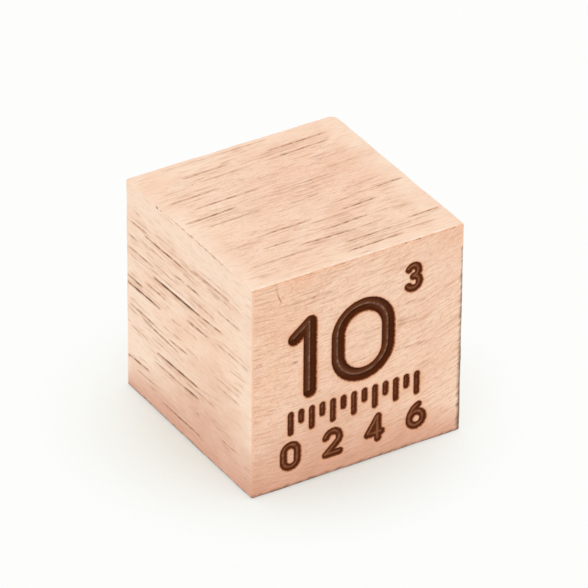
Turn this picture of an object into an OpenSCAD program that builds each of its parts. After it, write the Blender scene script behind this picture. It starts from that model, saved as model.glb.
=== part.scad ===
// Copper sample cube: one block cut from drawn bar, its edges broken by hand.
// Plain figures and a millimetre scale are laser-engraved in one of its faces:
// the large figures give the length of its edge, raised to the third power.
// The origin is the centre of the base, +Z is up and the engraved face looks along -Y.

/* [Block] */
// Edge length of the cube
edge = 10; // [9.8:0.1:30]
// Radius of the broken edges
edge_radius = 0.12; // [0.05:0.01:0.4]

/* [Large figures] */
// Height of the large figures, over the stroke
large_height = 3.9; // [3:0.1:4.2]
// Width of a large figure, over the stroke
large_width = 3; // [2.4:0.1:3.2]
// Width of a large stroke
large_stroke = 0.62; // [0.3:0.02:0.8]
// Depth of a large stroke
large_depth = 0.16; // [0.05:0.01:0.4]
// Clear space between the large figures
large_gap = 0.7; // [0.3:0.05:0.9]

/* [Small figures] */
// Height of the small figures, over the stroke
small_height = 1.4; // [1.1:0.05:1.5]
// Width of a small figure, over the stroke
small_width = 1; // [0.8:0.05:1.1]
// Width of a small stroke
small_stroke = 0.34; // [0.16:0.01:0.36]
// Depth of a small stroke
small_depth = 0.08; // [0.03:0.01:0.2]
// Clear space between the figures of one small number
small_gap = 0.12; // [0.05:0.01:0.3]

/* [Scale] */
// Length of the scale, from its first graduation to its last
scale_length = 6; // [2:2:6]
// Distance from one figure of the scale to the next
figure_pitch = 2; // [2:1:3]
// Distance between neighbouring graduations
graduation = 0.5; // [0.5:0.5:1]
// Length of a whole-millimetre graduation
long_tick = 1.15; // [0.9:0.05:1.3]
// Length of a graduation between two whole millimetres
short_tick = 0.7; // [0.4:0.05:0.9]
// Width of a graduation
tick_stroke = 0.28; // [0.1:0.01:0.34]

/* [Layout on the face] */
// From the left edge of the face to the first graduation
left_margin = 1.85; // [1:0.05:2.2]
// From the bottom edge of the face to the foot of the scale's figures
foot_margin = 0.8; // [0.6:0.05:1.2]
// From the top of the scale's figures to the graduations
figure_gap = 0.28; // [0.15:0.01:0.5]
// From the top of the graduations to the foot of the large figures
row_gap = 0.42; // [0.2:0.01:0.6]
// From the top edge of the face to the exponent
top_margin = 1.1; // [0.8:0.05:1.4]
// From the last large figure to the exponent
exponent_gap = 0.3; // [0.2:0.05:0.5]

/* [Hidden] */
$fn = 48;
// How far a cutter stands out of the face that it cuts
over = 0.2;
// The figure 1 is narrower than the others
one_share = 0.45;

tick_foot = foot_margin + small_height + figure_gap;
large_foot = tick_foot + long_tick + row_gap;

// Each figure is a list of strokes along its centre lines, in a box w wide and h high:
// [start, end] is a straight stroke and [centre, radius, from, to] an arc, in degrees.
zero = function (w, h) let (r = w / 2) [
    [[r, h - r], r, 0, 180],
    [[r, r], r, 180, 360],
    [[0, r], [0, h - r]],
    [[w, r], [w, h - r]],
];
one = function (w, h) [
    [[w, 0], [w, h]],
    [[0, h - w * 0.8], [w, h]],
];
two = function (w, h) let (r = w / 2, turn = -35) [
    [[r, h - r], r, turn, 165],
    [[0, 0], [r + r * cos(turn), h - r + r * sin(turn)]],
    [[0, 0], [w, 0]],
];
three = function (w, h) let (low = h * 0.27, top = h / 2 - low) [
    [[w - low, h - top], top, -90, 150],
    [[w - low, low], low, -150, 90],
];
four = function (w, h) let (bar = h * 0.27, stem = w * 0.75) [
    [[stem, 0], [stem, h]],
    [[0, bar], [stem, h]],
    [[0, bar], [w, bar]],
];
five = function (w, h) let (r = h * 0.31, turn = 145) [
    [[w - r, r], r, -150, turn],
    [[w - r + r * cos(turn), r + r * sin(turn)], [w * 0.15, h]],
    [[w * 0.15, h], [w, h]],
];
six = function (w, h) let (r = w / 2, sweep = h - r) [
    [[r, r], r, 0, 360],
    [[sweep, r], sweep, 115, 180],
];
seven = function (w, h) [
    [[0, h], [w, h]],
    [[w * 0.3, 0], [w, h]],
];
eight = function (w, h) let (low = h * 0.27, top = h / 2 - low) [
    [[w / 2, low], low, 0, 360],
    [[w / 2, h - top], top, 0, 360],
];
nine = function (w, h) let (r = w / 2, sweep = h - r) [
    [[r, h - r], r, 0, 360],
    [[w - sweep, h - r], sweep, -65, 0],
];
FIGURES = [zero, one, two, three, four, five, six, seven, eight, nine];

// The digits of a whole number, the width of one digit and that of a row of them
function digits(number) = [for (c = str(number)) ord(c) - ord("0")];
function digit_width(digit, width) = digit == 1 ? width * one_share : width;
function row_width(row, width, gap, count) = count == 0 ? 0 :
    row_width(row, width, gap, count - 1) + digit_width(row[count - 1], width) + gap;
function number_width(number, width, gap) = let (row = digits(number))
    row_width(row, width, gap, len(row)) - gap;

// One straight stroke with round ends, from a to b
module line_cut(a, b, stroke, depth) {
    run = b - a;
    translate([a.x, a.y, -depth])
        rotate(atan2(run.y, run.x)) {
            translate([0, -stroke / 2, 0]) cube([norm(run), stroke, depth + over]);
            for (end = [0, norm(run)])
                translate([end, 0, 0]) cylinder(d = stroke, h = depth + over);
        }
}

// One stroke along an arc, with round ends where it isn't a whole ring
module arc_cut(centre, radius, from, to, stroke, depth) {
    translate([centre.x, centre.y, -depth]) {
        rotate(from)
            rotate_extrude(angle = to - from)
                intersection() {
                    translate([radius - stroke / 2, 0]) square([stroke, depth + over]);
                    square([radius + stroke, depth + over]);
                }
        if (to - from < 360)
            for (turn = [from, to])
                rotate(turn) translate([radius, 0, 0]) cylinder(d = stroke, h = depth + over);
    }
}

// A whole number, with the lower left corner of its outline at the origin
module number_cut(number, width, height, stroke, gap, depth) {
    row = digits(number);
    for (i = [0 : len(row) - 1])
        translate([row_width(row, width, gap, i) + stroke / 2, stroke / 2, 0])
            for (s = FIGURES[row[i]](digit_width(row[i], width) - stroke, height - stroke))
                if (len(s) == 2) line_cut(s[0], s[1], stroke, depth);
                else arc_cut(s[0], s[1], s[2], s[3], stroke, depth);
}

// The edge length in millimetres, with its exponent beside its top
module size_mark() {
    size = round(edge);
    left = left_margin - tick_stroke / 2;
    translate([left, large_foot, 0])
        number_cut(size, large_width, large_height, large_stroke, large_gap, large_depth);
    translate([left + number_width(size, large_width, large_gap) + exponent_gap,
               edge - top_margin - small_height, 0])
        number_cut(3, small_width, small_height, small_stroke, small_gap, small_depth);
}

// The millimetre scale: graduations that stand on one line, with figures under them
module scale_mark() {
    for (x = [0 : graduation : scale_length]) {
        tick = x == floor(x) ? long_tick : short_tick;
        translate([left_margin + x, tick_foot + long_tick - tick, 0])
            line_cut([0, tick_stroke / 2], [0, tick - tick_stroke / 2], tick_stroke, small_depth);
    }
    for (x = [0 : figure_pitch : scale_length])
        translate([left_margin + x - number_width(x, small_width, small_gap) / 2, foot_margin, 0])
            number_cut(x, small_width, small_height, small_stroke, small_gap, small_depth);
}

// The block as drawn, sawn and rubbed down: every edge has the same small radius
module block() {
    flat = edge - 2 * edge_radius;
    module rounded_prism()
        linear_extrude(edge, center = true) {
            square([edge, flat], center = true);
            square([flat, edge], center = true);
            for (x = [-1, 1], y = [-1, 1])
                translate([x, y] * flat / 2) circle(r = edge_radius);
        }
    translate([0, 0, edge / 2])
        intersection() {
            rounded_prism();
            rotate([90, 0, 0]) rounded_prism();
            rotate([0, 90, 0]) rounded_prism();
        }
}

module copper_cube()
    color("#e2a27f")
        difference() {
            block();
            translate([-edge / 2, -edge / 2, 0])
                rotate([90, 0, 0]) {
                    size_mark();
                    scale_mark();
                }
        }

copper_cube();
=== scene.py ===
from math import cos, radians, sin

import bpy
import numpy as np
from mathutils import Matrix, Vector


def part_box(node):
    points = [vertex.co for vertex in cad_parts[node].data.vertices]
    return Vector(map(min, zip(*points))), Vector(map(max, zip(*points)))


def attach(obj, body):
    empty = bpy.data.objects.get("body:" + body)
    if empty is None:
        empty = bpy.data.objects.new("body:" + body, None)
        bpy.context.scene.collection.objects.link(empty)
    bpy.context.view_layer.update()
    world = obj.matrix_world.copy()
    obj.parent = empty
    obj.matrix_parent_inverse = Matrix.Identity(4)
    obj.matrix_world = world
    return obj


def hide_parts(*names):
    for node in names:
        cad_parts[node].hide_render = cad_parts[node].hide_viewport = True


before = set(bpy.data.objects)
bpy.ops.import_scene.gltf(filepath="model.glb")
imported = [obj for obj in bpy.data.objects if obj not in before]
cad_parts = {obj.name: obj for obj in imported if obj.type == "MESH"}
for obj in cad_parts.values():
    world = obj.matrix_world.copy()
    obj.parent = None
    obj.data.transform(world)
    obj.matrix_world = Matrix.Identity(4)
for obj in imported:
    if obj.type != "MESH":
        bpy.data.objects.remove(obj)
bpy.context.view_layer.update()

scene = bpy.context.scene
scene.view_settings.view_transform = "Standard"


# ---- Camera ---------------------------------------------------------------------------
# A long lens, a quarter of a metre away, looks down on the cube's front and left faces.
# The cube's centre lies a little below the middle of the view.

MM = 0.001              # Blender works in metres
VIEW_AZIMUTH, VIEW_ELEVATION, VIEW_ROLL = radians(-31.6), radians(32.4), radians(0.42)
VIEW_DISTANCE = 259 * MM
VIEW_ASIDE = Vector((0.025, 0.44)) * MM
LENS_MM, SENSOR_MM = 387.9, 36.0
NEAREST_SEEN, FURTHEST_SEEN = 0.01, 10.0    # metres

cube_low, cube_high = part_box("copper_cube")
cube_centre = (cube_low + cube_high) / 2

back = Vector((sin(VIEW_AZIMUTH) * cos(VIEW_ELEVATION),
               -cos(VIEW_AZIMUTH) * cos(VIEW_ELEVATION), sin(VIEW_ELEVATION)))
level = Vector((cos(VIEW_AZIMUTH), sin(VIEW_AZIMUTH), 0.0))
upright = back.cross(level)
right = level * cos(VIEW_ROLL) + upright * sin(VIEW_ROLL)
up = upright * cos(VIEW_ROLL) - level * sin(VIEW_ROLL)

camera_data = bpy.data.cameras.new("camera")
camera_data.lens, camera_data.sensor_width = LENS_MM, SENSOR_MM
camera_data.clip_start, camera_data.clip_end = NEAREST_SEEN, FURTHEST_SEEN
camera = bpy.data.objects.new("camera", camera_data)
scene.collection.objects.link(camera)
camera.matrix_world = Matrix.Translation(
    cube_centre + back * VIEW_DISTANCE + right * VIEW_ASIDE.x + up * VIEW_ASIDE.y
) @ Matrix((right, up, back)).transposed().to_4x4()
scene.camera = camera


# ---- Studio ---------------------------------------------------------------------------
# A white light tent over a sheet of white paper. The tent lights from all round, and one
# large lamp overhead adds a little from above.

TENT_LIGHT, PAPER, PLAIN_WHITE = "#FFFFFF", "#F2F6EC", "#FDFDFC"
LAMP_PLACE, LAMP_SIZE, LAMP_WATTS = Vector((-0.03, -0.02, 0.4)), 0.6, 0.1
PAPER_HALF = 0.6        # half the side of the sheet, in metres


def linear(hex_colour):
    """An sRGB colour such as #E2A27F as linear red, green and blue: each channel's
    value is divided by 12.92 below 0.04045, and otherwise ((v + 0.055) / 1.055) ** 2.4."""
    v = np.array([int(hex_colour[i:i + 2], 16) for i in (1, 3, 5)]) / 255
    return np.where(v <= 0.04045, v / 12.92, ((v + 0.055) / 1.055) ** 2.4)


def rgba(hex_colour):
    """The same colour with an alpha of 1, as a node's socket takes it."""
    return (*linear(hex_colour), 1.0)


def add_node(tree, kind, settings=None, links=None):
    """Adds a node to a tree. Settings are properties of the node, or values of its
    inputs by name or number. Links are outputs of other nodes, for its inputs."""
    node = tree.nodes.new(kind)
    for name, value in (settings or {}).items():
        if isinstance(name, str) and hasattr(node, name):
            setattr(node, name, value)
        else:
            node.inputs[name].default_value = value
    for name, output in (links or {}).items():
        tree.links.new(output, node.inputs[name])
    return node


world = bpy.data.worlds.new("light_tent")
scene.world = world
world.use_nodes = True
tent = world.node_tree
tent.nodes.clear()
tent_light = add_node(tent, "ShaderNodeBackground", {"Color": rgba(TENT_LIGHT), "Strength": 1.0})
add_node(tent, "ShaderNodeOutputWorld", links={"Surface": tent_light.outputs[0]})

lamp_data = bpy.data.lights.new("soft_lamp", "AREA")
lamp_data.energy, lamp_data.size = LAMP_WATTS, LAMP_SIZE
lamp = bpy.data.objects.new("soft_lamp", lamp_data)
scene.collection.objects.link(lamp)
lamp.matrix_world = Matrix.Translation(LAMP_PLACE) @ (
    LAMP_PLACE - cube_centre).to_track_quat("Z", "Y").to_matrix().to_4x4()

paper_mesh = bpy.data.meshes.new("paper")
paper_mesh.from_pydata([(-PAPER_HALF, -PAPER_HALF, 0), (PAPER_HALF, -PAPER_HALF, 0),
                        (PAPER_HALF, PAPER_HALF, 0), (-PAPER_HALF, PAPER_HALF, 0)],
                       [], [(0, 1, 2, 3)])
paper = bpy.data.objects.new("paper", paper_mesh)
scene.collection.objects.link(paper)
paper_look = bpy.data.materials.new("white_paper")
paper_look.use_nodes = True
tree = paper_look.node_tree
tree.nodes.clear()

# The camera sees the paper's own shading close to the cube, where its shadow lies, and
# more and more plain white further out. Glossy rays see plain white, so that the copper
# shows the same background. Sampled as a lamp, that white would be lost to them.
SHADE_PLACE, SHADE_NEAR, SHADE_FAR = Vector((-0.6, 0, 0)) * MM, 5 * MM, 10.3 * MM
WHITE_NEAR, WHITE_FAR = 0.33, 1.0       # shares of plain white at those distances
paper_look.cycles.emission_sampling = "NONE"
shaded = add_node(tree, "ShaderNodeBsdfDiffuse", {"Color": rgba(PAPER)})
plain = add_node(tree, "ShaderNodeEmission", {"Color": rgba(PLAIN_WHITE), "Strength": 1.0})
rays = add_node(tree, "ShaderNodeLightPath")
place = add_node(tree, "ShaderNodeTexCoord")
away = add_node(tree, "ShaderNodeVectorMath", {"operation": "DISTANCE", 1: SHADE_PLACE},
                {0: place.outputs["Object"]})
white = add_node(tree, "ShaderNodeMapRange", {
    "From Min": SHADE_NEAR, "From Max": SHADE_FAR, "To Min": WHITE_NEAR, "To Max": WHITE_FAR,
}, {"Value": away.outputs["Value"]})
share = add_node(tree, "ShaderNodeMath", {"operation": "MULTIPLY_ADD"},
                 {0: rays.outputs["Is Camera Ray"], 1: white.outputs[0],
                  2: rays.outputs["Is Glossy Ray"]})
paper_shader = add_node(tree, "ShaderNodeMixShader",
                        links={0: share.outputs[0], 1: shaded.outputs[0], 2: plain.outputs[0]})
add_node(tree, "ShaderNodeOutputMaterial", links={"Surface": paper_shader.outputs[0]})
paper_mesh.materials.append(paper_look)


# ---- Copper cube ----------------------------------------------------------------------
# One block of copper, drawn and sawn square, rubbed on abrasive paper, with its edges
# broken by hand. The rubbing tore short streaks out of the soft metal. A laser burnt
# plain figures and a millimetre scale into the front face.

# All sizes here are in millimetres, measured about the cube's own centre.
SKIN = 0.012            # the faces lie this far inside the drawn size, so that burrs fit
EDGE = (cube_high.x - cube_low.x) / MM
HALF = EDGE / 2 - SKIN
EASE = 0.11             # largest usual radius of a broken edge
MARGIN = 0.2            # from an edge to the fine grid of its face
CELLS = 40              # cells across a face, each split as finely as the face needs
RIM_SPLIT = 2           # cells of the rim beside one of these
ROUND_STEPS = 3         # steps from a face to the middle of a broken edge

# Each face has the way that its streaks run, the way across them, and into how many a
# cell is split along and across the streaks.
FACES = {
    "front": ((1, 0, 0), (0, 0, 1), 5, 5),
    "left": ((0, -1, 0), (0, 0, 1), 1, 8),
    "top": ((1, 0, 0), (0, 1, 0), 1, 8),
    "right": ((0, 1, 0), (0, 0, 1), 1, 4),
    "back": ((-1, 0, 0), (0, 0, 1), 1, 3),
    "under": ((1, 0, 0), (0, -1, 0), 1, 2),
}


def grid_cells(columns, rows):
    """The corners of each cell between two lists of lines, counter-clockwise, as an
    array of cells by four corners by two coordinates."""
    points = np.stack(np.meshgrid(columns, rows, indexing="ij"), -1)
    corners = points[:-1, :-1], points[1:, :-1], points[1:, 1:], points[:-1, 1:]
    return np.stack(corners, 2).reshape(-1, 4, 2)


def face_cells(split_a, split_b):
    """A square face in its own plane, as a list of arrays of cells. Its rim has lines
    that crowd towards the edge, at equal turns of the round, and are the same on every
    face. Its middle has a grid of its own. A row of cells with more corners joins them."""
    turns = np.linspace(np.pi / 4, 0, ROUND_STEPS + 1)
    round_lines = EASE * (1 - np.tan(turns)) - HALF
    inner = np.linspace(MARGIN - HALF, HALF - MARGIN, RIM_SPLIT * CELLS + 1)
    lines = np.concatenate([round_lines, inner, -round_lines[::-1]])
    rim = grid_cells(lines, lines)
    middles = np.abs(rim.mean(1))
    kept = (middles > HALF - EASE).any(1) | (middles > HALF - MARGIN).all(1)
    fine_a, fine_b = (np.linspace(MARGIN - HALF, HALF - MARGIN, CELLS * split + 1)
                      for split in (split_a, split_b))
    cells = [rim[kept], grid_cells(fine_a, fine_b)]
    start, pitch = inner[:-1:RIM_SPLIT, None], inner[RIM_SPLIT] - inner[0]
    for quarter, split in enumerate((split_a, split_b, split_a, split_b)):
        along = np.concatenate([start + pitch * np.linspace(0, 1, RIM_SPLIT + 1),
                                start + pitch * np.linspace(1, 0, split + 1)], 1)
        across = np.repeat([EASE - HALF, MARGIN - HALF], [RIM_SPLIT + 1, split + 1])
        strip = np.stack([along, np.broadcast_to(across, along.shape)], -1)
        c, s = round(cos(quarter * np.pi / 2)), round(sin(quarter * np.pi / 2))
        cells.append(strip @ np.array([[c, s], [-s, c]]))
    return cells


WAVES, WAVE_STEPS = 8, (1, 3)       # of a smooth random change: how many, and how long


def wander(points, step, seed):
    """A smooth random value from -1 to 1 at each point: sine waves that run in random
    directions, each one to three steps long, are added and divided by half their number."""
    random = np.random.default_rng(seed)
    ways = random.normal(size=(WAVES, points.shape[1]))
    ways /= np.linalg.norm(ways, axis=1)[:, None] * random.uniform(*WAVE_STEPS, (WAVES, 1)) * step
    turns = 2 * np.pi * (points @ ways.T + random.random(WAVES))
    return np.clip(np.sin(turns).sum(1) / (WAVES / 2), -1, 1)


# The engraving. Its sizes are those of the drawn pockets: the large figures are the edge
# length in millimetres, with the exponent 3, over a scale that is divided in halves.
LARGE_HEIGHT, LARGE_WIDTH, LARGE_STROKE, LARGE_GAP = 3.9, 3.0, 0.62, 0.7
SMALL_HEIGHT, SMALL_WIDTH, SMALL_STROKE = 1.4, 1.0, 0.34
TICK_STROKE, LONG_TICK, SHORT_TICK = 0.28, 1.15, 0.7
SCALE_LENGTH, FIGURE_PITCH, GRADUATION = 6, 2, 0.5
LEFT_MARGIN, FOOT_MARGIN, TOP_MARGIN = 1.85, 0.8, 1.1
FIGURE_GAP, ROW_GAP, EXPONENT_GAP, ONE_SHARE = 0.28, 0.42, 0.3, 0.45

# Height of the metal at a distance inside a stroke's outline. The laser ran round the
# outline first, which cut deepest, and left a ridge along the middle of a large stroke.
LARGE_GROOVE = ((-0.07, 0), (-0.03, 0.008), (0, 0), (0.05, -0.09), (0.13, -0.15),
                (0.22, -0.12), (0.31, -0.07))
SMALL_GROOVE = ((-0.05, 0), (-0.02, 0.006), (0, 0), (0.04, -0.055), (0.08, -0.07),
                (0.12, -0.045), (0.17, -0.04))
LARGE_REACH = 0.2       # the large groove holds to this far outside a large stroke
FAR_OUTSIDE = -9.0      # a distance inside an outline that stands for none


def figure_strokes(figure, w, h):
    """The middle lines of a plain figure, in a box w wide and h high. Two points are a
    straight stroke. A centre, a radius and two angles in degrees are an arc."""
    r, low = w / 2, h * 0.27
    top = h / 2 - low
    bend = radians(-35)
    return {
        0: [((r, h - r), r, 0, 180), ((r, r), r, 180, 360),
            ((0, r), (0, h - r)), ((w, r), (w, h - r))],
        1: [((w, 0), (w, h)), ((0, h - w * 0.8), (w, h))],
        2: [((r, h - r), r, -35, 165), ((0, 0), (w, 0)),
            ((0, 0), (r + r * cos(bend), h - r + r * sin(bend)))],
        3: [((w - low, h - top), top, -90, 150), ((w - low, low), low, -150, 90)],
        4: [((w * 0.75, 0), (w * 0.75, h)), ((0, low), (w * 0.75, h)), ((0, low), (w, low))],
        6: [((r, r), r, 0, 360), ((h - r, r), h - r, 115, 180)],
    }[figure]


def figure_width(figure, width):
    """The figure 1 is narrower than the others."""
    return width * ONE_SHARE if figure == 1 else width


def placed(figure, left, foot, width, height, stroke):
    """The strokes of one figure with its lower left corner at a place on the face, each
    with half the stroke's width."""
    shift = np.array([left, foot]) + stroke / 2
    drawn = figure_strokes(figure, figure_width(figure, width) - stroke, height - stroke)
    return [((tuple(shift + s[0]), tuple(shift + s[1])) if len(s) == 2
             else (tuple(shift + s[0]), *s[1:]), stroke / 2) for s in drawn]


tick_foot = FOOT_MARGIN + SMALL_HEIGHT + FIGURE_GAP
tick_top = tick_foot + LONG_TICK
engraving = []
pen = LEFT_MARGIN - TICK_STROKE / 2
for figure in (1, 0):
    engraving += placed(figure, pen, tick_top + ROW_GAP, LARGE_WIDTH, LARGE_HEIGHT, LARGE_STROKE)
    pen += figure_width(figure, LARGE_WIDTH) + LARGE_GAP
engraving += placed(3, pen - LARGE_GAP + EXPONENT_GAP, EDGE - TOP_MARGIN - SMALL_HEIGHT,
                    SMALL_WIDTH, SMALL_HEIGHT, SMALL_STROKE)
for x in np.arange(0, SCALE_LENGTH + GRADUATION / 2, GRADUATION):
    tick = LONG_TICK if x == round(x) else SHORT_TICK
    ends = [(LEFT_MARGIN + x, tick_top + TICK_STROKE / 2 - tick),
            (LEFT_MARGIN + x, tick_top - TICK_STROKE / 2)]
    engraving.append((ends, TICK_STROKE / 2))
for x in range(0, SCALE_LENGTH + 1, FIGURE_PITCH):
    engraving += placed(x, LEFT_MARGIN + x - figure_width(x, SMALL_WIDTH) / 2, FOOT_MARGIN,
                        SMALL_WIDTH, SMALL_HEIGHT, SMALL_STROKE)


def stroke_distance(points, stroke):
    """How far points lie from the middle line of a stroke: from the nearest point of a
    straight one, or from the point of an arc at the same angle, held between its ends."""
    if len(stroke) == 2:
        start, run = np.array(stroke[0]), np.subtract(stroke[1], stroke[0])
        share = np.clip((points - start) @ run / (run @ run), 0, 1)
        nearest = start + share[:, None] * run
    else:
        centre, radius, low, high = stroke
        away = points - centre
        middle, reach = (low + high) / 2, (high - low) / 2
        turn = (np.degrees(np.arctan2(away[:, 1], away[:, 0])) - middle + 180) % 360 - 180
        turn = np.radians(middle + np.clip(turn, -reach, reach))
        nearest = centre + radius * np.stack([np.cos(turn), np.sin(turn)], 1)
    return np.linalg.norm(points - nearest, axis=1)


def engraved(points):
    """For points of the front face, in millimetres from its lower left corner: the
    distance inside the nearest outline, the same for the wide strokes alone, the distance
    from the middle line of a wide stroke, and the height of the metal."""
    burn, wide_burn = np.full((2, len(points)), FAR_OUTSIDE)
    ridge = np.ones(len(points))
    for stroke, half_width in engraving:
        distance = stroke_distance(points, stroke)
        inside = half_width - distance
        burn = np.maximum(burn, inside)
        if half_width > SMALL_STROKE / 2:
            wide_burn = np.maximum(wide_burn, inside)
            ridge = np.minimum(ridge, distance)
    narrow = np.interp(burn, *np.transpose(SMALL_GROOVE), left=0)
    wide = np.interp(wide_burn, *np.transpose(LARGE_GROOVE), left=0)
    return burn, wide_burn, ridge, np.where(wide_burn > -LARGE_REACH, wide, narrow)


# Torn streaks. The longest ones are placed one by one: where each starts and ends along
# the streaks, its distances from the far edge of the face there, and how strong it is.
TORN = {
    "front": [
        (4.5, 6.0, 4.30, 4.20, 0.35), (2.9, 4.1, 0.72, 0.50, 0.25), (8.5, 9.7, 4.95, 4.40, 0.35),
        (0.0, 0.5, 3.60, 3.60, 0.45), (0.0, 1.0, 5.70, 5.75, 0.25), (0.7, 1.2, 5.95, 6.00, 0.35),
        (7.7, 9.1, 3.95, 3.55, 0.20), (8.2, 9.5, 3.25, 2.85, 0.20), (0.3, 1.5, 3.45, 3.20, 0.20),
        (2.0, 3.4, 6.12, 6.15, 0.30), (0.2, 1.6, 8.25, 8.15, 0.20),
    ],
    "top": [
        (4.1, 6.6, 0.30, 0.28, 0.5), (3.9, 4.6, 0.97, 0.95, 0.4), (1.9, 4.1, 1.22, 1.17, 0.7),
        (6.1, 8.9, 1.08, 1.03, 0.9), (5.7, 8.7, 1.70, 1.58, 0.8), (1.7, 4.9, 1.80, 1.76, 0.5),
        (4.4, 5.9, 1.45, 1.42, 0.3), (0.5, 1.4, 1.98, 1.98, 0.3), (1.4, 3.2, 2.30, 2.25, 0.3),
        (0.4, 2.9, 2.68, 2.60, 0.7), (4.4, 5.5, 2.78, 2.78, 0.3), (7.1, 8.2, 2.50, 2.45, 0.5),
        (6.8, 7.8, 2.95, 3.05, 0.3), (1.2, 4.2, 3.50, 3.42, 0.8), (4.2, 6.0, 3.35, 3.45, 0.3),
        (6.6, 9.8, 3.40, 3.40, 0.3), (7.0, 8.2, 3.68, 3.68, 0.3), (5.4, 7.3, 3.97, 3.92, 0.6),
        (0.3, 2.8, 4.32, 4.20, 0.95), (1.1, 2.9, 4.50, 4.45, 0.4), (3.2, 4.0, 4.12, 4.12, 0.3),
        (5.4, 7.2, 4.50, 4.40, 0.5), (4.5, 6.8, 4.78, 4.72, 0.4), (1.0, 3.6, 4.95, 4.90, 0.6),
        (4.6, 6.4, 5.08, 5.02, 0.5), (7.0, 8.9, 5.22, 5.18, 0.4), (8.3, 9.8, 5.72, 5.68, 0.8),
        (6.1, 7.6, 5.92, 5.85, 0.5), (2.2, 4.9, 6.62, 6.55, 0.8), (6.3, 8.0, 6.52, 6.45, 0.9),
        (0.5, 2.6, 6.88, 6.88, 0.4), (4.7, 6.5, 6.85, 6.80, 0.6), (7.6, 9.3, 6.75, 6.95, 0.3),
        (2.0, 3.4, 7.52, 7.48, 0.7), (4.8, 7.1, 7.50, 7.38, 0.9), (7.3, 9.0, 7.40, 7.40, 0.3),
        (3.5, 6.1, 8.00, 8.08, 0.9), (6.1, 7.5, 8.05, 8.00, 0.4), (0.8, 4.1, 8.50, 8.42, 0.6),
        (8.3, 9.8, 8.42, 8.38, 0.9), (5.0, 7.4, 8.75, 8.70, 0.8), (7.5, 9.2, 8.75, 8.68, 0.4),
        (0.8, 1.8, 9.25, 9.20, 0.4), (1.7, 4.0, 9.60, 9.60, 0.3), (4.8, 7.6, 9.37, 9.30, 0.9),
    ],
    "left": [
        (0.3, 1.9, 1.82, 1.76, 0.8), (1.4, 4.9, 1.95, 1.85, 1.1), (2.3, 4.1, 1.42, 1.38, 0.4),
        (5.3, 8.3, 1.55, 1.45, 0.8), (6.4, 8.4, 1.75, 1.70, 0.5), (0.9, 3.2, 2.32, 2.30, 0.5),
        (0.0, 1.0, 2.55, 2.50, 0.6), (3.9, 4.7, 2.55, 2.48, 0.8), (4.8, 5.9, 2.50, 2.45, 1.0),
        (7.1, 9.1, 2.42, 2.38, 0.6), (1.7, 4.3, 2.88, 2.85, 0.5), (0.0, 2.2, 3.15, 3.08, 0.8),
        (5.0, 7.0, 2.95, 2.92, 0.6), (4.0, 5.8, 2.10, 2.05, 0.5), (1.4, 3.0, 3.30, 3.25, 0.4),
        (2.2, 5.9, 3.55, 3.42, 1.9), (5.5, 7.8, 3.45, 3.27, 0.9), (5.5, 7.2, 3.68, 3.62, 0.5),
        (7.0, 9.7, 4.00, 3.93, 0.6), (1.6, 3.2, 4.15, 4.12, 0.8), (4.8, 6.5, 4.18, 4.10, 1.0),
        (0.0, 1.4, 4.55, 4.53, 1.1), (3.7, 4.3, 4.80, 4.75, 0.6), (0.0, 2.7, 4.90, 4.80, 1.5),
        (8.2, 9.8, 4.72, 4.55, 0.4), (3.0, 4.5, 5.50, 5.40, 0.5), (0.2, 2.6, 5.85, 5.85, 0.9),
        (3.4, 5.0, 5.90, 5.80, 0.8), (8.2, 9.3, 5.35, 5.30, 0.5), (1.3, 4.1, 6.05, 6.12, 0.9),
        (0.0, 1.0, 6.10, 6.08, 0.5), (7.2, 9.0, 6.00, 5.95, 0.6), (1.9, 4.3, 6.55, 6.52, 0.4),
        (0.2, 2.0, 6.85, 6.85, 0.5), (2.4, 5.9, 7.08, 6.95, 1.4), (4.6, 7.2, 7.20, 7.15, 0.6),
        (2.3, 4.6, 7.60, 7.55, 0.8), (4.5, 5.8, 7.55, 7.48, 1.4), (6.3, 8.0, 7.80, 7.75, 0.4),
        (0.0, 1.8, 8.45, 8.35, 1.1), (5.4, 5.8, 8.40, 8.20, 0.8), (0.7, 2.8, 8.82, 8.75, 0.6),
        (7.2, 8.9, 8.45, 8.38, 0.6), (2.8, 6.2, 9.27, 9.23, 1.1), (1.4, 2.5, 9.05, 9.05, 0.5),
        (9.3, 10.0, 8.75, 8.65, 0.4), (6.1, 7.6, 6.90, 6.60, 0.4),
    ],
}
TEAR_DEPTH, BURR_HEIGHT = 0.022, 0.006      # where the strength is 1
TEAR_WIDTH, BRUISE_WIDTH, BRUISE_SHARE = 0.045, 0.1, 0.25
BLUNTNESS, RIPPLE, RIPPLE_LENGTHS = 0.25, 0.2, (0.5, 1)
BURR_PLACE, BURR_WIDTH = 0.15, 0.045
BURR_CUT = 0.4          # no burr stands where a tear is this strong
TEAR_REACH = 0.6        # no tear shows further than this from its line
STROKE_CLEAR = 0.1      # nor this near to a burnt stroke

# Each face has small tears at random, too: how many, the shortest, how far they stay
# from the rim, their lean as a share of their length, and the faintest as a share of the
# strongest. Then, for each face, how much longer the longest is, and the strongest.
SMALL_TEARS, SHORTEST, RIM_CLEAR, LEAN, FAINTEST = 60, 0.3, 0.2, (-0.04, 0.01), 0.25
SHORT_POWER, FAINT_POWER = 2.5, 2       # above 1, most tears are short and faint
SMALL_TEAR_LIMITS = {"front": (2.5, 0.6), "top": (4.5, 0.5), "left": (4.5, 0.5)}
USUAL_LIMITS = (4.0, 0.9)

# Every tear has fainter ones beside it: how many, how far aside, their share of its
# strength, and the strongest. Last, at which shares of its length they start and end.
BESIDE, BESIDE_ASIDE, BESIDE_SHARE, BESIDE_STRONGEST = 3, (0.1, 0.3), (0.15, 0.5), 0.35
BESIDE_START, BESIDE_END = (-0.3, 0.4), (0.6, 1.3)

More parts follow.
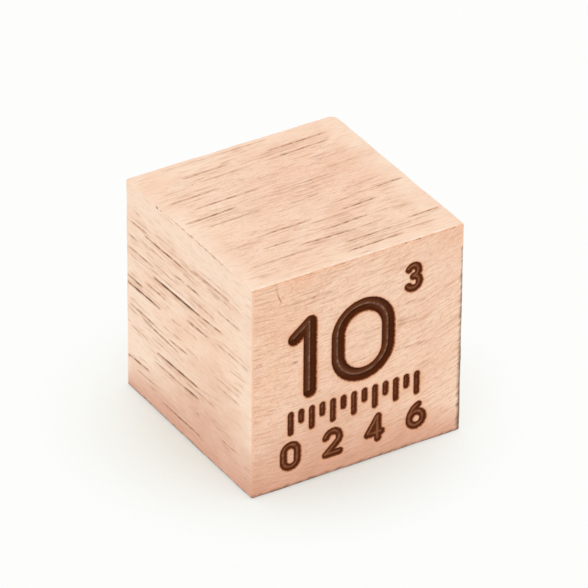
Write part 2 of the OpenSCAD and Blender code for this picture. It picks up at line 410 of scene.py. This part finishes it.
# Bands along the start, the end, the far edge and the near edge of a face are clean. How
# wide each is, and how wide its border. On the front they lie outside it.
CLEAN_BANDS = {"front": (-0.3, -0.3, -0.3, -0.3), "top": (0.6, 1.0, 0.9, 0.4),
               "left": (0.0, 1.1, 1.2, 0.2)}
USUAL_BANDS, BAND_FADE = (0.3, 0.5, 0.4, 0.3), 0.5


def random_tears(random, count, longer, strongest):
    """Streaks at random, listed as those placed one by one. Their lengths and strengths are
    the least, with the rest of the range times a power of a random value added."""
    length = SHORTEST + longer * random.random(count) ** SHORT_POWER
    start = RIM_CLEAR + (2 * (HALF - RIM_CLEAR) - length) * random.random(count)
    offset = random.uniform(RIM_CLEAR, 2 * HALF - RIM_CLEAR, count)
    strength = strongest * (FAINTEST + (1 - FAINTEST) * random.random(count) ** FAINT_POWER)
    lean = random.uniform(*LEAN, count) * length
    return np.stack([start, start + length, offset, offset + lean, strength], 1)


def frayed(random, tears):
    """The tears with the fainter ones beside each, which are parallel to it."""
    start, end, offset_start, offset_end, strength = np.repeat(tears, BESIDE, axis=0).T
    count, length = len(start), end - start
    slope = (offset_end - offset_start) / length
    first = random.uniform(*BESIDE_START, count) * length
    last = random.uniform(*BESIDE_END, count) * length
    aside = offset_start + random.choice([-1, 1], count) * random.uniform(*BESIDE_ASIDE, count)
    strength = np.minimum(strength * random.uniform(*BESIDE_SHARE, count), BESIDE_STRONGEST)
    beside = np.stack([start + first, start + last, aside + slope * first,
                       aside + slope * last, strength], 1)
    return np.concatenate([tears, beside])


def torn(points, tears, random):
    """How strongly a face is torn at each point, and how strong a burr is there. A tear
    runs straight. Along it, its strength is half a sine wave with blunt ends, times a
    faster wave. Across it is the tear, a narrow bell, on its bruise, a wide one, where a
    bell is exp(-(distance / width) ** 2). Burrs are bells at both sides, and stand only
    where no other tear cuts them."""
    depth, burr = np.zeros(len(points)), np.zeros(len(points))
    for start, end, offset_start, offset_end, strength in tears:
        s = (points[:, 0] - start) / (end - start)
        away = points[:, 1] - offset_start - (offset_end - offset_start) * s
        near = np.flatnonzero((s > 0) & (s < 1) & (np.abs(away) < TEAR_REACH))
        s, away = s[near], away[near]
        turns = random.random() + (end - start) * s / random.uniform(*RIPPLE_LENGTHS)
        ripple = 1 - RIPPLE + RIPPLE * np.sin(2 * np.pi * turns)
        along = strength * np.sin(np.pi * s) ** BLUNTNESS * ripple
        tear, bruise = np.exp(-(away / TEAR_WIDTH) ** 2), np.exp(-(away / BRUISE_WIDTH) ** 2)
        tear += BRUISE_SHARE * (bruise - tear)
        sides = np.exp(-((np.abs(away) - BURR_PLACE) / BURR_WIDTH) ** 2)
        depth[near] = np.maximum(depth[near], along * tear)
        burr[near] = np.maximum(burr[near], along * sides)
    return depth, burr * np.clip(1 - depth / BURR_CUT, 0, 1)


def rubbed(points, bands):
    """How much the abrasive shows at each point: 1 in the middle of a face and 0 in the
    clean bands along its edges, changing evenly across their borders."""
    start, end, far, near = bands
    inside = np.minimum(np.minimum(points[:, 0] - start, 2 * HALF - end - points[:, 0]),
                        np.minimum(points[:, 1] - far, 2 * HALF - near - points[:, 1]))
    return np.clip(inside / BAND_FADE + 0.5, 0, 1)


# The mesh: the corners of all cells, face by face, with what each vertex carries. The
# grain map is the plane of each face in millimetres, along the streaks and then across
# them. On the front face the streaks curve upwards, as the stroke of an arm does.
FACE_STEP = 20.0        # each face has its own stretch of the grain map
ARM_BEND, ARM_START = 0.0225, -3.0
HAIR = ((3.3, 10.05), 2.2, 186, 208)    # a fine curved scratch: centre, radius and two angles
# How rosy each face is, which also paints part of each face's shading, lightest on the left
# face and darker on the front, and how rough it is between its tears. Metal is rosier where
# the abrasive took less away: in the middle of a face, and along the top of the front.
ROSINESS_AND_FACE_SHADE = {"front": 0.23, "left": -0.16, "top": 0.09, "right": 0.1, "back": 0.2, "under": 0.4}
ROUGHNESS = {"front": 0.83, "left": 0.35, "top": 0.75, "right": 0.4, "back": 0.5, "under": 0.6}
MIDDLE_ROSE, BROW_ROSE, BROW_REACH = 0.22, 0.35, 0.45

positions, heights, grain, cell_sizes = [], [], [], []
marks = {"torn": [], "burr": [], "rough": [], "rosy": [], "burn": [], "wide_burn": [],
         "ridge": [], "hair": []}
for number, (name, (along, across, split_a, split_b)) in enumerate(FACES.items()):
    random = np.random.default_rng(number + 1)
    axes = np.array([along, across, np.cross(along, across)], float)
    cells = face_cells(split_a, split_b)
    cell_sizes += [np.full(len(group), group.shape[1]) for group in cells]
    flat = np.concatenate([group.reshape(-1, 2) for group in cells])
    from_corner = flat + HALF
    from_far = np.stack([from_corner[:, 0], 2 * HALF - from_corner[:, 1]], 1)
    map_place = flat + (number * FACE_STEP, 0)
    height = np.zeros(len(flat))
    burn, wide_burn = np.full((2, len(flat)), FAR_OUTSIDE)
    ridge, hair = np.ones((2, len(flat)))
    if name == "front":
        burn, wide_burn, ridge, height = engraved(from_corner + SKIN)
        hair = stroke_distance(from_corner, HAIR)
        map_place[:, 1] -= ARM_BEND * (flat[:, 0] - ARM_START) ** 2
    limits = SMALL_TEAR_LIMITS.get(name, USUAL_LIMITS)
    tears = np.concatenate([TORN.get(name, np.zeros((0, 5))),
                            random_tears(random, SMALL_TEARS, *limits)])
    depth, burr = torn(from_far, frayed(random, tears), random)
    middle = rubbed(from_far, CLEAN_BANDS.get(name, USUAL_BANDS))
    # The face's own share of rosiness includes its painted shading.
    rosy = ROSINESS_AND_FACE_SHADE[name] + MIDDLE_ROSE * middle
    if name == "front":
        rosy += BROW_ROSE * np.exp((flat[:, 1] - HALF) / BROW_REACH)
    clear = (burn < -STROKE_CLEAR) & (HALF - np.abs(flat).max(1) > EASE)
    depth, burr = depth * clear, burr * clear
    rough = clear * middle * ROUGHNESS[name]
    height = height - TEAR_DEPTH * depth + BURR_HEIGHT * burr
    positions.append(np.column_stack([flat, np.full(len(flat), HALF)]) @ axes)
    heights.append(height[:, None] * axes[2])
    grain.append(map_place)
    for key, values in zip(marks, (depth, burr, rough, rosy, burn, wide_burn, ridge, hair)):
        marks[key].append(values)

positions, heights = np.concatenate(positions), np.concatenate(heights)
grain, cell_sizes = np.concatenate(grain), np.concatenate(cell_sizes)
_, first, corner_vertex = np.unique(np.round(positions * 1e4).astype(int), axis=0,
                                    return_index=True, return_inverse=True)
marks = {key: np.concatenate(values)[first] for key, values in marks.items()}
points, heights = positions[first], heights[first]

# The edges: their radius changes along them, and one upright edge is rubbed rounder near
# its top. Small nicks lie anywhere, and a few are placed one by one.
EDGE_CHANGE, EDGE_STEP, EDGE_SEED, NICK_SEED = 0.25, 1.1, 11, 21
WORN_RADIUS, WORN_REACH = 0.3, 2.5
NICKS = [(1, (-1, 0.985), 2.52, 0.14, 0.08, 0.030), (1, (-1, 0.985), 2.18, 0.16, 0.05, 0.024),
         (0, (-1, 0.99), -2.46, 0.25, 0.05, 0.022), (0, (-1, 0.99), -1.6, 0.2, 0.05, 0.022),
         (0, (-1, 0.99), 2.3, 0.2, 0.06, 0.027), (0, (-1, 0.99), 2.8, 0.22, 0.06, 0.025),
         (0, (-1, 0.99), 4.4, 0.25, 0.05, 0.022)]    # axis, side, place, length, width, depth
NICKS_AN_EDGE, NICK_SIZE, NICK_DEPTH = 14, (0.04, 0.1), (0.002, 0.014)

# The upper left edge has a thin crease that fades towards its ends. The upper front edge
# has a painted highlight on top, with a faint crease just below. Painted shade darkens the
# lower edges, and a darker line runs on the front's side of one upright edge, whose top has a
# painted highlight instead.
CREASE, CREASE_PLACE, CREASE_HALF, CREASE_FADE, CREASE_REACH = 0.9, -0.7, 4.2, 2.8, 0.1
FRONT_CREASE, FRONT_CREASE_ASIDE, FRONT_CREASE_REACH = 0.7, -0.06, 0.12
EDGE_HIGHLIGHT_ASIDE, EDGE_HIGHLIGHT_REACH = 0.05, 0.12
FOOT_SHADE, FOOT_SHADE_REACH, FRONT_FOOT_SHADE_REACH = 1.1, 0.26, 0.34
UPRIGHT_DARK, UPRIGHT_DARK_RISE, UPRIGHT_DARK_REACH = 0.9, 0.04, 0.32
UPRIGHT_DARK_TOP, UPRIGHT_DARK_FADE = 0.27, 0.9

change = EDGE_CHANGE * wander(points, EDGE_STEP, EDGE_SEED)
radius = EASE * (1 - EDGE_CHANGE + change)[:, None]
core = np.clip(points, radius - HALF, HALF - radius)
outwards = points - core
outwards /= np.linalg.norm(outwards, axis=1)[:, None]
from_top = HALF - points[:, 2]
random = np.random.default_rng(NICK_SEED)
nicks = list(NICKS)
foot_shade_and_dark_edge, crease, edge_highlight = (np.zeros(len(points)) for _ in range(3))
for axis in range(3):
    for side in ((-1, -1), (-1, 1), (1, -1), (1, 1)):
        corner = np.insert(np.array(side) * HALF, axis, 0)
        from_edge = np.linalg.norm(np.delete(points - corner, axis, 1), axis=1)
        if axis == 1 and side == (-1, 1):
            from_end = CREASE_HALF - np.abs(points[:, 1] - CREASE_PLACE)
            ends = np.clip(from_end / CREASE_FADE, 0, CREASE)
            crease = np.maximum(crease, ends - from_edge / CREASE_REACH)
        # A painted highlight on top of the upper front edge, and a faint crease below it.
        elif (axis, side) == (0, (-1, 1)):
            aside = from_edge * np.sign(points[:, 1] + HALF - from_top)
            edge_highlight = np.maximum(edge_highlight, 1 - np.abs(aside - EDGE_HIGHLIGHT_ASIDE) / EDGE_HIGHLIGHT_REACH)
            below = np.abs(aside - FRONT_CREASE_ASIDE) / FRONT_CREASE_REACH
            crease = np.maximum(crease, FRONT_CREASE - below)
        # Painted shade along the lower edges, where the cube stands on the paper, reaching
        # further on the front.
        elif axis < 2 and side[1] < 0:
            reach = FRONT_FOOT_SHADE_REACH if (axis, side[0]) == (0, -1) else FOOT_SHADE_REACH
            foot_shade_and_dark_edge = np.maximum(foot_shade_and_dark_edge, FOOT_SHADE - from_edge / reach)
        # At the top of this upright edge, a painted highlight; lower down, a darker line on the
        # front's side.
        elif side == (1, -1):
            edge_highlight = np.maximum(edge_highlight, 1 - from_edge / EDGE_HIGHLIGHT_REACH - from_top)
            most = np.clip((from_top - UPRIGHT_DARK_TOP) / UPRIGHT_DARK_FADE, 0,
                           UPRIGHT_DARK + UPRIGHT_DARK_RISE * from_top)
            from_edge += points[:, 1] + HALF
            foot_shade_and_dark_edge = np.maximum(foot_shade_and_dark_edge, most - from_edge / UPRIGHT_DARK_REACH)
        for place in random.uniform(-HALF, HALF, NICKS_AN_EDGE):
            nicks.append((axis, side, place, *random.uniform(*NICK_SIZE, 2),
                          random.uniform(*NICK_DEPTH)))
near_edge = np.sort(np.abs(points), 1)[:, 1] > HALF - 2 * MARGIN
nicked = np.zeros(len(points))
for axis, side, place, length, width, depth in nicks:
    apart = points[near_edge] - np.insert(np.array(side) * HALF, axis, place)
    apart = apart / np.insert([width, width], axis, length)
    nicked[near_edge] = np.maximum(nicked[near_edge], depth * np.exp(-(apart ** 2).sum(1)))

# The colour changes softly everywhere. Painted shade makes the cube darker from the foot up,
# highest up at a distance from the edge between the left and front faces.
ROSE_CHANGE, ROSE_STEP, ROSE_SEED = 0.19, 4.0, 1361
LOW_SHADE_HEIGHT, LOW_SHADE_PLACE, LOW_SHADE_FALL, LOW_SHADE_RISE = 6.1, 3.0, 0.72, 1.3
marks["rosy"] += ROSE_CHANGE * wander(points, ROSE_STEP, ROSE_SEED)
from_corner = np.linalg.norm(points[:, :2] + HALF, axis=1)
reach = np.clip(LOW_SHADE_HEIGHT - LOW_SHADE_FALL * np.abs(from_corner - LOW_SHADE_PLACE), 1, None)
low_shade = np.clip(1 - (points[:, 2] + HALF) / reach, 0, 1) ** LOW_SHADE_RISE

# The rubbed corner: in a corner of the level section, a point's offset from the round's
# centre shrinks by its longer side over its length, which turns a square into an arc.
worn = WORN_RADIUS * np.exp(-((points[:, 2:] - HALF) / WORN_REACH) ** 2)
points = core + outwards * (radius - nicked[:, None]) + heights
offset = points[:, :2] - (HALF - worn)
shrink = offset.max(1) / np.maximum(np.linalg.norm(offset, axis=1), 1e-9)
in_corner = (offset > 0).all(1)
points[in_corner, :2] += (offset * (shrink - 1)[:, None])[in_corner]
points = points * MM + np.array(cube_centre)
marks |= {"nicked": nicked, "foot_shade_and_dark_edge": foot_shade_and_dark_edge, "crease": crease, "edge_highlight": edge_highlight,
          "low_shade": low_shade}

cube_mesh = bpy.data.meshes.new("copper_cube_skin")
cube_mesh.vertices.add(len(points))
cube_mesh.vertices.foreach_set("co", points.ravel())
cube_mesh.loops.add(len(corner_vertex))
cube_mesh.loops.foreach_set("vertex_index", corner_vertex.ravel())
cube_mesh.polygons.add(len(cell_sizes))
cube_mesh.polygons.foreach_set("loop_start", np.cumsum(cell_sizes) - cell_sizes)
cube_mesh.polygons.foreach_set("loop_total", cell_sizes)
cube_mesh.update(calc_edges=True)
cube_mesh.shade_smooth()
for key, values in marks.items():
    cube_mesh.attributes.new(key, "FLOAT", "POINT").data.foreach_set("value", values)
grain_map = cube_mesh.uv_layers.new(name="grain")
grain_map.data.foreach_set("uv", grain.ravel())
cube_mesh.validate()

cube = bpy.data.objects.new("copper_cube_skin", cube_mesh)
scene.collection.objects.link(cube)
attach(cube, "root")
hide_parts("copper_cube")

# The finish: clean copper rubbed on fine abrasive. It shines in its own colour, but
# spreads the light until it looks nearly matt. Torn metal and nicks hold brown oxide.
# The laser's strokes are dark brown oxide with a straw and orange rim.
copper_look = bpy.data.materials.new("rubbed_copper")
copper_look.use_nodes = True
tree = copper_look.node_tree
tree.nodes.clear()

# Patterns: noise with features of these sizes in millimetres along and across the
# streaks, turned by some degrees, and how much finer detail it has.
PATTERNS = {
    "patches": (2.2, 1.3, 15, 2),       # where the rubbing took more or less away
    "sweeps": (5.0, 0.5, 35, 2),        # faint strokes of the last rubbing, at a slant
    "mottle": (0.4, 0.2, 10, 2),        # uneven metal between the lines
    "grain": (1.3, 0.075, 0, 1),        # lines, drawn four times as coarse as the 0.02 mm grit
    "specks": (0.22, 0.09, 10, 2),      # pits between them
    "scores": (0.5, 0.06, 0, 2),        # single scratches, which show in the relief alone
    "strands": (0.9, 0.045, 0, 2),      # fibres of torn metal
    "flecks": (0.12, 0.06, 20, 1),      # lifted specks, painted pale as glints that catch the light
    "pulses": (0.09, 0.09, 0, 1),       # the laser's ragged outline, and its rough floor
}
noises = {}
grain_place = add_node(tree, "ShaderNodeUVMap", {"uv_map": "grain"})
for name, (along, across, turn, detail) in PATTERNS.items():
    size = add_node(tree, "ShaderNodeMapping", {
        "vector_type": "TEXTURE", "Rotation": (0, 0, radians(turn)), "Scale": (along, across, 1),
    }, {"Vector": grain_place.outputs[0]})
    noises[name] = add_node(tree, "ShaderNodeTexNoise", {"Scale": 1.0, "Detail": detail},
                            {"Vector": size.outputs[0]}).outputs["Fac"]

# Layers of colour. Each shows where a mark times its gain, with a pattern added, goes
# from a low value to a high one, and then covers what is below it by up to a share. With
# a gain of 0, the pattern shows everywhere. Of the marks, burn and wide_burn are depths
# inside an outline in millimetres, ridge and hair are distances from a line, and nicked
# is the depth of a nick. The others are strengths, most of them from 0 to 1.
CLEAN, ROSY, PALE = "#FCE1C9", "#F4BF9E", "#FFF1E0"
LAYERS = [
    ("rosy", 2.0, "patches", 0.40, 2.40, 1.0, ROSY),
    ("rosy", 0.0, "sweeps", 0.5, 0.75, 0.2, PALE),
    ("rosy", 0.0, "mottle", 0.5, 0.8, 0.2, "#DDA98B"),
    ("rough", 0.3, "grain", 0.80, 1.02, 0.15, PALE),        # ridges between lines
    # Painted glints on lifted specks
    ("rough", 0.38, "flecks", 0.86, 1.08, 0.6, PALE),
    # Painted highlight on the burrs
    ("burr", 1.0, "mottle", 0.85, 1.40, 0.9, "#FCEBDB"),
    # Painted shade, darker towards the foot, broken up by strands
    ("low_shade", 2.0, "patches", 0.5, 2.5, 1.0, "#DDA78D"),
    ("low_shade", 0.3, "strands", 0.72, 0.95, 0.45, "#C48A6C"),
    ("rough", -0.3, "grain", 0.20, 0.02, 0.5, "#D09B7B"),   # lines
    ("rough", 0.35, "specks", 0.84, 1.08, 0.5, "#C08B6C"),
    ("rough", 0.35, "strands", 0.86, 1.08, 0.5, "#C08B6C"),
    ("torn", 0.9, "strands", 0.55, 0.85, 0.75, "#D3A586"),
    ("torn", 0.9, "specks", 0.86, 1.15, 0.85, "#A97A5E"),
    ("torn", 0.9, "strands", 1.15, 1.45, 0.90, "#70462F"),
    ("edge_highlight", 0.5, "specks", 0.86, 1.06, 0.9, PALE),      # painted highlight along edges
    ("crease", 0.7, "mottle", 0.80, 1.20, 0.75, "#B4825F"),
    ("nicked", 30.0, "flecks", 0.95, 1.25, 0.9, "#865238"),
    # Painted shade at the foot, and a darker line beside one upright edge
    ("foot_shade_and_dark_edge", 1.3, "mottle", 1.15, 1.75, 0.85, "#6E5142"),
    ("hair", -11.0, "patches", 0.0, 0.3, 0.6, "#9C5B45"),
    ("burn", 3.0, "patches", -0.2, 0.6, 0.35, "#E8A982"),   # straw and orange heat tint
    ("burn", 8.0, "pulses", -0.2, 0.5, 0.7, "#D6926A"),
    ("burn", 14.0, "pulses", -0.1, 0.5, 0.75, "#9A5F3D"),
    ("burn", 18.0, "pulses", 0.30, 0.90, 1.0, "#5C2B14"),   # the outline, burnt darkest
    ("burn", 7.0, "mottle", 1.20, 1.60, 1.0, "#8C583A"),    # the floor of a narrow stroke
    ("wide_burn", 18.0, "pulses", 0.8, 1.5, 1.0, "#532610"),
    ("wide_burn", 4.0, "specks", 0.95, 1.45, 0.7, "#6B3A1E"),
    ("wide_burn", 14.0, "pulses", 3.2, 4.2, 0.8, "#6A4230"),
    # A painted highlight along the middle of each wide stroke
    ("ridge", -7.0, "mottle", 0.22, 0.56, 0.9, "#9A7864"),
]
BELOW, ABOVE, MIXED = 6, 7, 2       # a Mix node's two colour inputs, and its colour output
colour = None
mark_values = {key: add_node(tree, "ShaderNodeAttribute", {"attribute_name": key}).outputs["Fac"]
               for key in marks}
for mark, gain, pattern, low, high, most, hex_colour in LAYERS:
    value = add_node(tree, "ShaderNodeMath", {"operation": "MULTIPLY_ADD", 1: gain},
                     {0: mark_values[mark], 2: noises[pattern]})
    share = add_node(tree, "ShaderNodeMapRange", {
        "From Min": low, "From Max": high, "To Min": 0.0, "To Max": most,
    }, {"Value": value.outputs[0]})
    links = {"Factor": share.outputs[0]}
    if colour:
        links[BELOW] = colour
    colour = add_node(tree, "ShaderNodeMix", {
        "data_type": "RGBA", BELOW: rgba(CLEAN), ABOVE: rgba(hex_colour),
    }, links).outputs[MIXED]

# Relief that the mesh is too coarse for, as heights in millimetres.
RELIEF = [("grain", 0.002), ("scores", 0.001), ("pulses", 0.0006)]
RUBBED_ROUGHNESS, BURNT_ROUGHNESS, BURNT_BORDER = 0.4, 0.5, 0.02
relief = None
for pattern, tallest in RELIEF:
    settings = {"operation": "MULTIPLY_ADD", 1: tallest, 2: 0.0}
    links = {0: noises[pattern]}
    if relief:
        links[2] = relief.outputs[0]
    relief = add_node(tree, "ShaderNodeMath", settings, links)
bump = add_node(tree, "ShaderNodeBump", {"Strength": 1.0, "Distance": MM},
                {"Height": relief.outputs[0]})
burnt = add_node(tree, "ShaderNodeMapRange", {
    "From Min": -BURNT_BORDER, "From Max": BURNT_BORDER,
    "To Min": RUBBED_ROUGHNESS, "To Max": BURNT_ROUGHNESS,
}, {"Value": mark_values["burn"]})
shader = add_node(tree, "ShaderNodeBsdfPrincipled", {"Metallic": 1.0}, {
    "Base Color": colour, "Roughness": burnt.outputs[0], "Normal": bump.outputs[0],
})
add_node(tree, "ShaderNodeOutputMaterial", links={"Surface": shader.outputs[0]})
cube_mesh.materials.append(copper_look)
